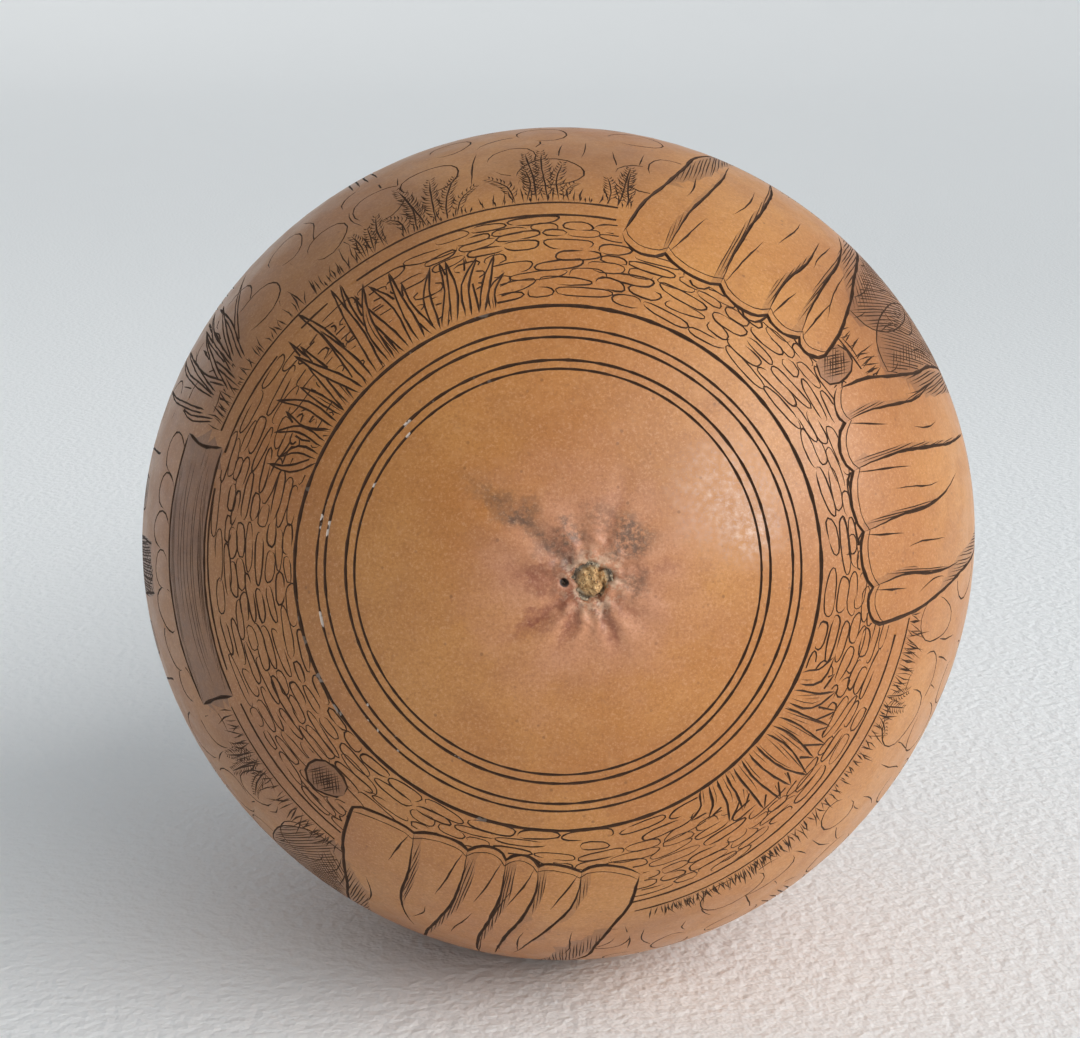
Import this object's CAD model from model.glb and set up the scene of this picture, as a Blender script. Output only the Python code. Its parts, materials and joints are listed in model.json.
import json
import math
import random

import bmesh
import bpy
import numpy as np
from mathutils import Euler, Matrix, Vector, noise
from mathutils.geometry import delaunay_2d_cdt


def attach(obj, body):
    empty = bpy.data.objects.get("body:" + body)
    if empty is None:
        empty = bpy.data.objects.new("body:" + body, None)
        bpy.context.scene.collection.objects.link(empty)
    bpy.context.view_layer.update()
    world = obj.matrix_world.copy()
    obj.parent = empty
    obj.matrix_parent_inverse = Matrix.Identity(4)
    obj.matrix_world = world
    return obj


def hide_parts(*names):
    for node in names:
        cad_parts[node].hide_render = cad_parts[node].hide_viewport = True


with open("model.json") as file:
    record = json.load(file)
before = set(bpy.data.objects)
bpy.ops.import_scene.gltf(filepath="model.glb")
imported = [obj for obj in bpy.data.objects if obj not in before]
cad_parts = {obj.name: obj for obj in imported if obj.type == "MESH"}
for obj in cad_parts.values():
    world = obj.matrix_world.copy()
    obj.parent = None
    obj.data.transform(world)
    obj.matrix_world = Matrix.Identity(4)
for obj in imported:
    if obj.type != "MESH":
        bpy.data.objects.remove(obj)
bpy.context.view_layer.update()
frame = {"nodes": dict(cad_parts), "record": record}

# The looks of a gourd maraca: an engraved, ink-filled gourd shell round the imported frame.
# Lengths are in millimetres in the maraca's own frame: +Z runs along its axis to the blossom end, +X is
# across and the origin is the centre of the widest circle. An object's matrix lays it down in metres.
# A place on the gourd is (azimuth, polar) in degrees: azimuth goes anticlockwise round the blossom end
# from +X, and polar is 0 at the blossom end, 90 at the widest circle and 180 at the cut end of the neck.

MM = 0.001
TAU = 2 * math.pi
chance = random.Random(11)


def new_object(name, data):
    """Puts an object with this data into the scene."""
    thing = bpy.data.objects.new(name, data)
    bpy.context.scene.collection.objects.link(thing)
    return thing


# ---------------------------------------------------------------- sizes, read from the frame

def node_points(name, to_local):
    """The vertices of a CAD node in a local frame, in millimetres."""
    return np.array([to_local @ v.co for v in frame["nodes"][name].data.vertices]) / MM


def find_place():
    """The matrix that lays the maraca's own frame down in the row frame."""
    mount = next(m for m in frame["record"]["mounts"] if m["name"] == "handle_shank")
    front = -Vector(mount["axis"]).normalized()
    across = Vector((1, 0, 0))
    turn = Matrix((across, front.cross(across), front)).transposed().to_4x4()
    on_axis = Matrix.Translation(Vector(mount["pos_m"])) @ turn
    shell = node_points("gourd_shell", on_axis.inverted())
    radius = np.hypot(shell[:, 0], shell[:, 1])
    widest = shell[radius > radius.max() - 0.005, 2].mean()
    return on_axis @ Matrix.Translation((0, 0, widest * MM))


PLACE = find_place()
TO_LOCAL = PLACE.inverted()
SHELL = node_points("gourd_shell", TO_LOCAL)
SHELL_RADIUS = np.hypot(SHELL[:, 0], SHELL[:, 1])
HEAD_R = SHELL_RADIUS.max()
BLOSSOM_LEN = SHELL[:, 2].max()
NECK_END = -SHELL[:, 2].min()
AT_CUT = SHELL_RADIUS[SHELL[:, 2] < 0.01 - NECK_END]
NECK_R = AT_CUT.max()
BORE_R = AT_CUT.min()
AT_WIDEST = SHELL_RADIUS[np.abs(SHELL[:, 2]) < 0.01]
WALL = HEAD_R - AT_WIDEST.min()
SCAR = node_points("blossom_scar", TO_LOCAL)
SCAR_R = (SCAR[:, 0].max() - SCAR[:, 0].min()) / 2
SCAR_X = SCAR[:, 0].min() + SCAR_R
SCAR_Y = SCAR[:, 1].min() + SCAR_R
SCAR_FLOOR = SCAR[:, 2].min()
# Span of radius over which the round of the gourd runs into its neck, as in the CAD
NECK_BLEND = 11.0
# Polar angle at which places stop following the round and run along the neck
ROUND_END = 158.0


# ---------------------------------------------------------------- camera

def make_camera():
    """Looks at the blossom end from a little above the axis, with the head off the frame's middle."""
    distance, above_axis = 230 * MM, 3.5
    head_right, head_down = 0.0103, 0.0128
    elevation = math.radians(above_axis) + math.asin(PLACE.col[2][2])
    centre = PLACE.translation
    back = Vector((0, -math.cos(elevation), math.sin(elevation)))
    up = back.cross(Vector((1, 0, 0)))
    spot = centre + back * distance
    aim = centre - Vector((1, 0, 0)) * head_right * distance + up * head_down * distance
    camera = new_object("camera", bpy.data.cameras.new("camera"))
    camera.data.lens = 67.9
    camera.data.sensor_width = 36
    camera.data.clip_start = 0.01
    camera.location = spot
    camera.rotation_euler = (aim - spot).to_track_quat("-Z", "Y").to_euler()
    bpy.context.scene.camera = camera


make_camera()


# ---------------------------------------------------------------- the gourd's surface

def stem_radius(behind):
    """Radius of the gourd at a distance behind the widest circle, where the round runs into the neck."""
    ball = np.sqrt(np.maximum(HEAD_R ** 2 - behind ** 2, 0))
    near = np.maximum(NECK_BLEND - np.abs(ball - NECK_R), 0) / NECK_BLEND
    return np.maximum(ball, NECK_R) + near ** 2 * NECK_BLEND / 4


def outline(polar):
    """Radius and height of the outside of the gourd at a polar angle."""
    angle = np.radians(polar)
    round_end = HEAD_R * math.sin(math.radians(ROUND_END - 90))
    tail = round_end + (NECK_END - round_end) * (polar - ROUND_END) / (180 - ROUND_END)
    behind = np.where(polar < ROUND_END, -HEAD_R * np.cos(angle), tail)
    front = polar <= 90
    radius = np.where(front, HEAD_R * np.sin(angle), stem_radius(behind))
    return radius, np.where(front, BLOSSOM_LEN * np.cos(angle), -behind)


# The drawing is laid out on a flat map that keeps angles, so that a line keeps its shape on the gourd.
# A place on the map is a complex number. LOG_T is the log of its size and its argument is the azimuth.
POLAR = np.linspace(0.05, 180, 3600)
RADIUS, HEIGHT = outline(POLAR)
LENGTHS = np.hypot(np.diff(RADIUS), np.diff(HEIGHT))
LOG_T = np.concatenate([[0], np.cumsum(LENGTHS * 2 / (RADIUS[1:] + RADIUS[:-1]))])
LOG_T -= np.interp(90, POLAR, LOG_T)


def to_map(azimuth, polar):
    return np.exp(np.interp(polar, POLAR, LOG_T)) * np.exp(1j * np.radians(azimuth))


def polar_of(w):
    return np.interp(np.log(np.maximum(np.abs(w), 1e-9)), LOG_T, POLAR)


def per_mm(w):
    """Length on the map of one millimetre on the gourd."""
    size = np.maximum(np.abs(w), 2e-4)
    return size / np.interp(np.log(size), LOG_T, RADIUS)


# Middle of the pin hole beside the scar, across and up
PIN_HOLE = (0.3, -0.9)
# Folds that run out from the scar: direction in degrees, reach, depth and half width in millimetres
FOLDS = [(8, 8, 0.20, 0.7), (38, 11, 0.25, 0.9), (72, 14, 0.16, 0.6), (104, 9, 0.28, 0.7),
         (141, 17, 0.34, 0.9), (176, 8, 0.30, 0.6), (214, 12, 0.42, 0.8), (243, 8, 0.34, 0.6),
         (268, 6, 0.22, 0.5), (291, 9, 0.36, 0.6), (322, 10, 0.28, 0.8), (348, 12, 0.18, 0.8)]


def ramp(x, low, high):
    """0 below low, 1 above high and smooth between; low may be above high."""
    t = np.clip((x - low) / (high - low), 0, 1)
    return t * t * (3 - 2 * t)


def relief(azimuth, polar):
    """Height of the real, uneven surface above the smooth outline, in millimetres."""
    angle = np.radians(azimuth)
    radius = np.interp(polar, POLAR, RADIUS)
    # The round is a little lobed, and bulges most at the upper left
    lobes = (0.14 * np.cos(angle - 2.3) + 0.20 * np.cos(2 * angle - 1.5)
             + 0.20 * np.cos(3 * angle - 2.0) + 0.15 * np.cos(4 * angle - 0.8) - 0.17)
    lobes = lobes + 0.6 * ramp(np.cos(angle - 2.2), 0, 1)
    height = lobes * ramp(polar, 12, 70) * ramp(polar, 150, 105)
    # The scar lies in a shallow dimple, with folds that have a raised lip on each side
    x = radius * np.cos(angle) - SCAR_X
    y = radius * np.sin(angle) - SCAR_Y
    away = np.hypot(x, y)
    height -= 0.45 * np.exp(-(away / 5.5) ** 2) * (polar < 90)
    for direction, reach, depth, width in FOLDS:
        a = math.radians(direction)
        along = x * math.cos(a) + y * math.sin(a)
        off = np.abs(y * math.cos(a) - x * math.sin(a)) / (width * (0.6 + 0.08 * np.maximum(along, 0)))
        fade = ramp(along, 1.4, 3.0) * ramp(along, reach, reach * 0.35) * (polar < 90)
        height += 0.7 * depth * fade * (0.55 * np.exp(-((off - 1.9) / 0.9) ** 2) - np.exp(-off ** 2))
    # Lumps next to the scar, its ragged pit with a rim, and the pin hole
    lumps = (np.sin(2.3 * x + 1.4 * np.sin(1.7 * y)) * np.sin(2.0 * y + 1.2 * np.sin(2.6 * x))
             + 0.6 * np.sin(4.9 * x + 2.0 * np.sin(3.1 * y)) * np.sin(5.3 * y))
    height += 0.13 * lumps * np.exp(-((away - 3.0) / 1.9) ** 2) * (polar < 90)
    around = np.arctan2(y, x)
    edge = (SCAR_R - 0.5 + 0.18 * np.sin(3 * around + 0.6) + 0.16 * np.sin(5 * around)
            + 0.10 * np.sin(9 * around))
    rim = 0.12 * np.exp(-((away - edge - 0.25) / 0.35) ** 2)
    pit = 0.8 * ramp(away, edge + 0.1, edge - 0.5)
    from_hole = np.hypot(x + SCAR_X - PIN_HOLE[0], y + SCAR_Y - PIN_HOLE[1])
    hole = 0.6 * np.exp(-(from_hole / 0.26) ** 4)
    return height + (rim - pit - hole) * (polar < 90)


def surface(w):
    """Points and unit normals of the uneven surface at places on the map."""
    azimuth, polar = np.degrees(np.angle(w)), polar_of(w)
    radius = np.interp(polar, POLAR, RADIUS)
    height = np.interp(polar, POLAR, HEIGHT)
    # Slopes come from the difference over a short way before and after, and to both sides
    step, aside = 0.2, 0.15
    before, after = np.maximum(polar - step, 0.05), np.minimum(polar + step, 180)
    run_r = np.interp(after, POLAR, RADIUS) - np.interp(before, POLAR, RADIUS)
    run_z = np.interp(after, POLAR, HEIGHT) - np.interp(before, POLAR, HEIGHT)
    run = np.hypot(run_r, run_z)
    run_r, run_z = run_r / run, run_z / run
    cos_a, sin_a = np.cos(np.radians(azimuth)), np.sin(np.radians(azimuth))
    out = np.stack([-run_z * cos_a, -run_z * sin_a, run_r], 1)
    along = np.stack([run_r * cos_a, run_r * sin_a, run_z], 1)
    round_it = np.stack([-sin_a, cos_a, 0 * sin_a], 1)
    rise = relief(azimuth, polar)
    slope_along = (relief(azimuth, after) - relief(azimuth, before)) / run
    turn = np.degrees(aside / np.maximum(radius, aside))
    slope_round = (relief(azimuth + turn, polar) - relief(azimuth - turn, polar)) / (2 * aside)
    normal = out - slope_along[:, None] * along - slope_round[:, None] * round_it
    normal /= np.linalg.norm(normal, axis=1)[:, None]
    point = np.stack([radius * cos_a, radius * sin_a, height], 1) + rise[:, None] * out
    return point, normal


# ---------------------------------------------------------------- the graver

# What has been drawn so far: cuts are (middle, half widths, sideways, steepness), covers are
# (outline, low corner, high corner) and soot is (outline, darkness, how many covers lie over it)
cuts = []
covers = []
soot = []
# Width that the graver leaves for each millimetre asked for
GRAVER = 0.74
# A hatching line is tested against its region every so many millimetres, and cut at every few of those
HATCH_STEP = 0.3
HATCH_KEEP = 7


def curve(points, step=0.8, closed=False):
    """Places a step apart on a smooth line through (azimuth, polar) points."""
    p = to_map(*np.array(points, float).T)
    return smooth(p, step, closed)


def smooth(p, step=0.8, closed=False):
    """Places a step apart on a smooth line through places on the map."""
    if closed:
        ring = np.concatenate([p[-1:], p, p[:2]])
    else:
        ring = np.concatenate([[2 * p[0] - p[1]], p, [2 * p[-1] - p[-2]]])
    parts = []
    for a, b, c, d in zip(ring, ring[1:], ring[2:], ring[3:]):
        count = max(1, round(abs(c - b) / per_mm((b + c) / 2) / step))
        t = np.arange(count) / count
        parts.append(0.5 * (2 * b + (c - a) * t + (2 * a - 5 * b + 4 * c - d) * t ** 2
                            + (3 * b - a - 3 * c + d) * t ** 3))
    if not closed:
        parts.append(p[-1:])
    return np.concatenate(parts)


def inside(w, polygon):
    """Which places on the map lie inside a polygon of places."""
    px, py = polygon.real[:, None], polygon.imag[:, None]
    qx, qy = np.roll(px, -1, 0), np.roll(py, -1, 0)
    rise = np.where(qy == py, 1, qy - py)
    crossed = (py > w.imag) != (qy > w.imag)
    left = w.real < px + (w.imag - py) / rise * (qx - px)
    return (crossed & left).sum(0) % 2 == 1


def covered(w, count=None):
    """Which places are hidden by the covers, or by the first few of them."""
    hidden = np.zeros(len(w), bool)
    for polygon, low, high in covers[:count]:
        near = in_box(w, low, high)
        if near.any():
            hidden[near] |= inside(w[near], polygon)
    return hidden


def corners_of(w):
    """The low and the high corner of the box round places on the map."""
    return complex(w.real.min(), w.imag.min()), complex(w.real.max(), w.imag.max())


def in_box(w, low, high):
    return (w.real > low.real) & (w.real < high.real) & (w.imag > low.imag) & (w.imag < high.imag)


def cover(w):
    """Hides what is cut later inside these places: what is in front is drawn first."""
    covers.append((w, *corners_of(w)))


def darken(region, dark):
    """Rubs soot into a region of the map, where nothing drawn so far covers it."""
    soot.append((region, dark, len(covers)))


def runs(shown):
    """First and last index, plus one, of each run of true values."""
    edges = np.flatnonzero(np.diff(np.concatenate([[0], shown.astype(int), [0]])))
    return zip(edges[::2], edges[1::2])


def cut(w, width=0.33, closed=False, taper=1.2, depth=0.45):
    """Cuts a line of a width in millimetres along places on the map, where nothing covers it."""
    if closed:
        w = np.append(w, w[0])
    gap = np.abs(np.diff(w)) / per_mm((w[1:] + w[:-1]) / 2)
    at = np.concatenate([[0], np.cumsum(gap)])
    half = np.full(len(w), width * GRAVER / 2)
    if taper:
        reach = min(taper, at[-1] / 2)
        half *= np.minimum(1, np.minimum(at, at[-1] - at) / reach) ** 0.7
    half *= 1 + 0.14 * np.sin(at * 1.9 + chance.uniform(0, 6))
    half *= [chance.uniform(0.84, 1.16) for _ in half]
    slow, quick = chance.uniform(0, 6), chance.uniform(0, 6)
    sway = 0.035 * np.sin(at * 0.9 + slow) + 0.02 * np.sin(at * 3.1 + quick)
    side = 1j * np.gradient(w)
    side /= np.maximum(np.abs(side), 1e-12)
    if not closed:
        w = w + side * sway * per_mm(w)
    for first, last in runs(~covered(w)):
        if last - first > 1:
            cuts.append((w[first:last], half[first:last], side[first:last], depth))


def line(points, width=0.33, step=1.0, taper=1.2, closed=False):
    """Cuts a smooth line through (azimuth, polar) points."""
    cut(curve(points, step, closed), width, closed, taper)


def cover_area(points):
    """Hides what is cut later inside a closed line through (azimuth, polar) points."""
    cover(curve(points, 1.2, True))


def solid_outline(points, width, step=0.8):
    """Cuts a closed line through (azimuth, polar) points and hides what is drawn behind it later."""
    w = curve(points, step, True)
    cut(w, width, True, 0)
    cover(w)


def swelling(angle, first, second):
    """A slightly uneven radius for a rounded outline: the shares of its second and third waves."""
    return (1 + first * np.sin(2 * angle + chance.uniform(0, 6))
            + second * np.sin(3 * angle + chance.uniform(0, 6)))


# ---------------------------------------------------------------- what is engraved

def rings():
    """Lines cut round the blossom end on a turntable, a little off the axis."""
    for polar, width in ((24.5, 0.36), (25.7, 0.42), (28.7, 0.40), (29.9, 0.38), (33.0, 0.56)):
        azimuth = np.arange(0, 360, 1.8)
        off = 0.45 * np.cos(np.radians(azimuth - 225))
        ripple = 0.07 * np.sin(np.radians(3 * azimuth + 40 * polar))
        cut(to_map(azimuth, polar + off + ripple), width, closed=True, taper=0)


def hatch(region, lean=0.0, pitch=0.5, width=0.15):
    """Fine lines across a region of the map, leaning clockwise from outwards by some degrees."""
    centre = region.mean()
    way = centre / abs(centre) * np.exp(-1j * math.radians(lean)) * per_mm(centre)
    flat = (region - centre) / way
    along = np.arange(flat.real.min(), flat.real.max(), HATCH_STEP)
    for off in np.arange(flat.imag.min() + pitch / 2, flat.imag.max(), pitch):
        spots = centre + (along + 1j * (off + chance.uniform(-0.2, 0.2) * pitch)) * way
        for first, last in runs(inside(spots, region)):
            first += chance.randint(0, 2)
            last -= chance.randint(0, 2)
            if last - first > 4:
                kept = np.append(np.arange(first, last - 2, HATCH_KEEP), last - 1)
                cut(spots[kept], width, taper=1.0)


def shade(points, lean=0.0, pitch=0.5, width=0.15, cross=None, dark=0.3):
    """Hatches and darkens a region of (azimuth, polar) points, and crosses it at another lean."""
    region = curve(points, 1.0, True)
    darken(region, dark)
    hatch(region, lean, pitch, width)
    if cross is not None:
        hatch(region, cross, 1.7 * pitch, width)


def stone(azimuth, polar, long, high):
    """A flat cobble: a rounded outline, left open where the graver was lifted."""
    centre = to_map(azimuth, polar)
    turned = 1j * centre / abs(centre) * per_mm(centre) * np.exp(1j * chance.uniform(-0.12, 0.12))
    start, sweep = chance.uniform(0, 6.3), chance.uniform(5.0, 6.8)
    angle = start + np.linspace(0, sweep, max(7, round(3 * (long + high))))
    swell = swelling(angle, 0.07, 0.05) * (1 + 0.05 * (angle - start) / sweep)
    x = long / 2 * np.sign(np.cos(angle)) * np.abs(np.cos(angle)) ** 0.75
    y = high / 2 * np.sign(np.sin(angle)) * np.abs(np.sin(angle)) ** 0.85
    cut(centre + (x + 1j * y) * swell * turned, chance.uniform(0.18, 0.3), taper=0.9)


def cobbles():
    """Rows of flat cobbles from the outermost ring up to the kerb."""
    first_row, row_step = 34.5, 1.55
    for row in range(11):
        polar = first_row + row_step * row + chance.uniform(-0.1, 0.1)
        azimuth = chance.uniform(0, 5)
        while azimuth < 360:
            long = chance.uniform(2.0, 5.4)
            span = math.degrees((long + chance.uniform(0.1, 0.6)) / np.interp(polar, POLAR, RADIUS))
            middle = azimuth + span / 2
            skew = 0.35 * math.sin(math.radians(5 * middle + 60 * row))
            if polar + skew < polar_near(KERB_LOW, middle) - 0.9 and chance.random() < 0.96:
                stone(middle, polar + skew, long, chance.uniform(0.85, 1.3))
            azimuth += span


def kerb_line(low):
    """Places every few degrees along a long line round the cobbles, a little off the axis."""
    azimuth = np.arange(0, 360, 3.0)
    off = 1.2 * np.cos(np.radians(azimuth - 235)) + 0.2 * np.sin(np.radians(5 * azimuth))
    return to_map(azimuth, low + off)


KERB_LOW = kerb_line(48.4)
KERB_HIGH = kerb_line(50.9)


def polar_near(places, azimuth):
    """Polar angle of whichever of these places is nearest to an azimuth."""
    return polar_of(places[np.argmin(np.abs(np.angle(places / to_map(azimuth, 50.0))))])


def kerb():
    """The two long lines round the cobbles."""
    cut(KERB_LOW, 0.42, closed=True, taper=0)
    cut(KERB_HIGH, 0.36, closed=True, taper=0)


def steps_between(first, last, step):
    """Angles from first to last, about a step apart but never regular."""
    angle = first
    while angle < last:
        yield angle
        angle += step * chance.uniform(0.6, 1.4)


def bowed(base, tip, bend, step):
    """A smooth line from a base to a tip, bowed sideways by some millimetres."""
    a, b = to_map(*base), to_map(*tip)
    way = (b - a) / abs(b - a)
    return smooth(np.array([a, (a + b) / 2 - 1j * way * bend * per_mm((a + b) / 2), b]), step)


def blade(base, tip, wide=1.1, bend=0.0, veins=1, width=0.3, hatched=False):
    """A pointed leaf from a base to a tip, bowed sideways by some millimetres."""
    spine = bowed(base, tip, bend, 0.9)
    t = np.linspace(0, 1, len(spine))
    half = wide / 2 * (1 - t ** 2.4) * (0.6 + 1.3 * t * (1 - t)) * per_mm(spine)
    side = 1j * np.gradient(spine)
    side /= np.abs(side)
    left, right = spine + side * half, spine - side * half
    cut(left, width, taper=0.8)
    cut(right, width * 1.15, taper=0.8)
    for k in range(veins):
        stop = max(3, int(len(t) * chance.uniform(0.45, 0.8)))
        across = chance.uniform(-0.7, -0.1) + 0.5 * k
        cut((spine + side * half * across)[:stop], 0.15, taper=1.5)
    if hatched:
        lean = math.degrees(-np.angle((spine[-1] - spine[0]) / spine[0]))
        hatch(np.concatenate([left, spine[::-1]]), lean + 6, 0.4, 0.14)
    cover(np.concatenate([left, right[::-1]]))


# Polar angle where the plants in front of the kerb stand, just outside the outermost ring
FOOT = 33.4


def spear_grass():
    """The clump of spear grass that stands in front of the kerb."""
    count, middle, reach = 27, 131, 27
    order = sorted(range(count), key=lambda i: chance.random())
    for i in order:
        aside = 2 * reach * (i + chance.uniform(0.1, 0.9)) / count - reach
        tall = (7 + 15 * math.exp(-(aside / 17) ** 2)) * chance.uniform(0.55, 1)
        foot = middle + aside
        tip = foot + aside * 0.12 + chance.uniform(-0.3, 0.3) * tall
        blade((foot, FOOT), (tip, FOOT + tall), 0.6 + tall * 0.036, chance.uniform(-0.9, 0.9),
              chance.choice((0, 0, 1)), 0.27)


def rosette():
    """A fan of thick pointed leaves, each hatched on one side, in front of the kerb."""
    half, middle, reach = 7, 319.5, 16
    order = sorted(range(2 * half + 1), key=lambda i: abs(i - half) + chance.uniform(-2, 2))
    for i in order:
        fan = (i - half) / half
        tall = (11.5 - 7.5 * fan ** 2) * chance.uniform(0.8, 1)
        foot = middle + reach * fan
        blade((foot, FOOT), (foot + 6.5 * fan, FOOT + tall), 1.5 + 0.09 * tall, fan, 1, 0.3, True)


def fern(base, tip, reach=2.0, bend=0.0, pitch=0.52):
    """A frond: a thin stem with short leaflets on both sides."""
    stem = bowed(base, tip, bend, pitch)
    cut(stem[::2] if len(stem) > 5 else stem, 0.24, taper=2.0)
    ahead = np.gradient(stem)
    ahead /= np.abs(ahead)
    for i in range(2, len(stem) - 1):
        t = i / len(stem)
        for sign in (1, -1):
            long = reach * (1 - t) ** 0.5 * min(1, 4 * t) * chance.uniform(0.75, 1.1) * per_mm(stem[i])
            turn = np.exp(1j * sign * math.radians(chance.uniform(30, 46)))
            bent = np.exp(1j * sign * math.radians(14))
            mid = stem[i] + ahead[i] * turn * bent * long * 0.5
            cut(np.array([stem[i], mid, stem[i] + ahead[i] * turn * long]), 0.22, taper=0.7)


def ferns():
    """Fronds behind the kerb, in clumps that spread outwards."""
    for middle, count, tall in ((111, 6, 17), (93, 6, 17), (121, 3, 10), (81, 3, 12), (336, 3, 8),
                                (213, 4, 12)):
        for i in range(count):
            aside = i - (count - 1) / 2
            foot = middle + 1.7 * aside
            ground = polar_near(KERB_HIGH, foot)
            top = tall * (1 - 0.09 * aside ** 2) * chance.uniform(0.6, 1)
            fern((foot, ground + 0.2), (foot + aside * 1.2 + chance.uniform(-2, 2), ground + top),
                 1.1 + 0.1 * top, aside * 0.3)


def tuft(azimuth, polar, count, tall, spread=1.6):
    """Short strokes of grass from one foot."""
    foot = to_map(azimuth, polar)
    out = foot / abs(foot)
    for k in range(count):
        side = (k - (count - 1) / 2) / max(count - 1, 1)
        long = tall * chance.uniform(0.55, 1.0) * per_mm(foot)
        start = foot + 1j * out * side * spread * per_mm(foot)
        lean = np.exp(1j * (side * 0.35 + chance.uniform(-0.22, 0.1)))
        tip = start + out * lean * long
        mid = (start + tip) / 2 + 1j * out * long * chance.uniform(-0.06, 0.06)
        cut(np.array([start, mid, tip]), chance.uniform(0.16, 0.3), taper=1.6)


def verge():
    """Grass all along the far side of the kerb, thick in some stretches and thin in others."""
    for first, last, step, low, high in ((204, 231, 1.5, 3.0, 8.0), (286, 309, 0.9, 1.8, 4.6),
                                         (309, 358, 1.6, 2.2, 5.8), (120, 158, 1.9, 2.0, 6.0),
                                         (79, 119, 2.3, 1.4, 3.6), (28, 42, 1.8, 2.0, 5.0)):
        for azimuth in steps_between(first, last, step):
            tuft(azimuth, polar_near(KERB_HIGH, azimuth) + 0.15, chance.choice((2, 3, 3, 4)),
                 chance.uniform(low, high))


def wander(azimuth, low, high, sway=1.1, width=0.2):
    """A line that climbs away from the kerb with slow bends, such as the edge of a rock or a shrub."""
    steps = max(2, round((high - low) / 4.6))
    side = chance.uniform(-1, 1)
    points = []
    for i in range(steps + 1):
        side = 0.55 * side + chance.uniform(-1, 1)
        points.append((azimuth + sway * side, low + (high - low) * i / steps))
    line(points, width, taper=2.5)


def boulder(azimuth, polar, wide, high, gap=0.12, width=0.24):
    """A rounded rock: most of an outline, flat below."""
    centre = to_map(azimuth, polar)
    way = 1j * centre / abs(centre) * per_mm(centre)
    start = chance.uniform(-0.6, 0.2)
    angle = np.linspace(start, start + TAU * (1 - gap), max(9, round((wide + high) * 1.4)))
    swell = swelling(angle, 0.06, 0.05)
    w = centre + way * swell * (wide / 2 * np.cos(angle) - 1j * high / 2 * np.sin(angle))
    cut(w, width * chance.uniform(0.8, 1.1), taper=1.5)
    cover(w)
    return w


def rocky_ground():
    """Rocks and shrubs behind the verge, drawn with thin wandering lines."""
    for azimuth in range(0, 360, 9):
        for polar in (chance.uniform(57, 62), chance.uniform(66, 74)):
            if chance.random() < 0.75:
                boulder(azimuth + chance.uniform(-3, 3), polar, chance.uniform(4, 7.5),
                        chance.uniform(5, 8.5))
    for azimuth in steps_between(0.7, 360, 4.2):
        bottom = chance.uniform(54, 62)
        wander(azimuth, bottom, bottom + chance.uniform(4, 13), width=chance.uniform(0.17, 0.26))


def limb_grass():
    """Tall thin grass at the end of the trough."""
    middle = 157
    for _ in range(13):
        foot = chance.uniform(146, 160)
        low = chance.uniform(53, 58)
        tip = (foot + (foot - middle) * 0.55 + chance.uniform(-3, 3), low + chance.uniform(12, 26))
        blade((foot, low), tip, 0.6, chance.uniform(-0.8, 0.8), 0, 0.25)


# ---------------------------------------------------------------- the people on the gourd

def hat(at):
    """A round felt hat seen from behind: crown, band, then the brim behind them."""
    crown = curve(at((-0.30, 77), (-0.29, 81), (-0.22, 85), (0, 87), (0.22, 85), (0.29, 81), (0.30, 77),
                     (0.15, 75.6), (0, 75.2), (-0.15, 75.6)), 0.8, True)
    cut(crown, 0.34, True, 0)
    line(at((-0.29, 79), (-0.15, 77.6), (0, 77.2), (0.15, 77.6), (0.29, 79)), 0.26)
    shade(at((-0.28, 79), (0, 77.2), (0.28, 79), (0.29, 77.4), (0, 75.4), (-0.29, 77.4)), 0, 0.4, 0.2,
          dark=0.5)
    cover(crown)
    brim = [(0.62 * math.cos(a), 76 - 3.6 * math.sin(a)) for a in np.arange(0, 6.28, 0.52)]
    solid_outline(at(*brim), 0.36)


def plait(at, x, low, high):
    """One plait of hair down the back, as crossing waves inside two edges."""
    ys = np.arange(high, low, -2.2)
    for side in (-1, 1):
        line(at(*[(x + side * (0.055 + 0.018 * math.sin(2 * i)), y) for i, y in enumerate(ys)]), 0.26)
    for y in ys[:-1]:
        line(at((x - 0.05, y - 0.3), (x + 0.05, y - 1.9)), 0.26, step=0.5, taper=0.3)
    tip = ys[-1]
    line(at((x - 0.03, tip), (x - 0.06, tip - 2.6)), 0.2)
    line(at((x + 0.03, tip), (x + 0.05, tip - 2.8)), 0.2)
    cover_area(at((x - 0.07, high), (x - 0.07, low), (x + 0.07, low), (x + 0.07, high)))


def shawl(at, edge, rows):
    """A shawl across the shoulders with a fringe, stripes and a woven zigzag."""
    def row(up, count=11):
        return at(*[(x, edge + up + 7 * abs(x) ** 1.4) for x in np.linspace(-0.72, 0.72, count)])

    line(row(0), 0.34)
    for azimuth, polar in row(0, 41):
        end = (azimuth + chance.uniform(-0.5, 0.5), polar - chance.uniform(1.0, 1.7))
        line([(azimuth, polar), end], 0.2, step=0.6, taper=0.4)
    for k in range(rows):
        line(row(1.6 + 6.4 * k), 0.28)
        line(row(5.6 + 6.4 * k), 0.28)
        low, high = row(2.3 + 6.4 * k, 25), row(4.9 + 6.4 * k, 25)
        line([high[i] if i % 2 else low[i] for i in range(25)], 0.26, step=1.2, taper=0.4)
    back = at((-0.72, edge + 4.4), (-0.76, edge + 14), (-0.70, 62), (-0.50, 68), (-0.2, 71), (0.2, 71),
              (0.50, 68), (0.70, 62), (0.76, edge + 14), (0.72, edge + 4.4))
    line(back, 0.36)
    shade(at((0.5, edge + 10), (0.73, edge + 10), (0.74, 58), (0.62, 64), (0.5, 58)), 0, 0.4, 0.16)
    cover_area(back + row(0)[::-1])


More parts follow.
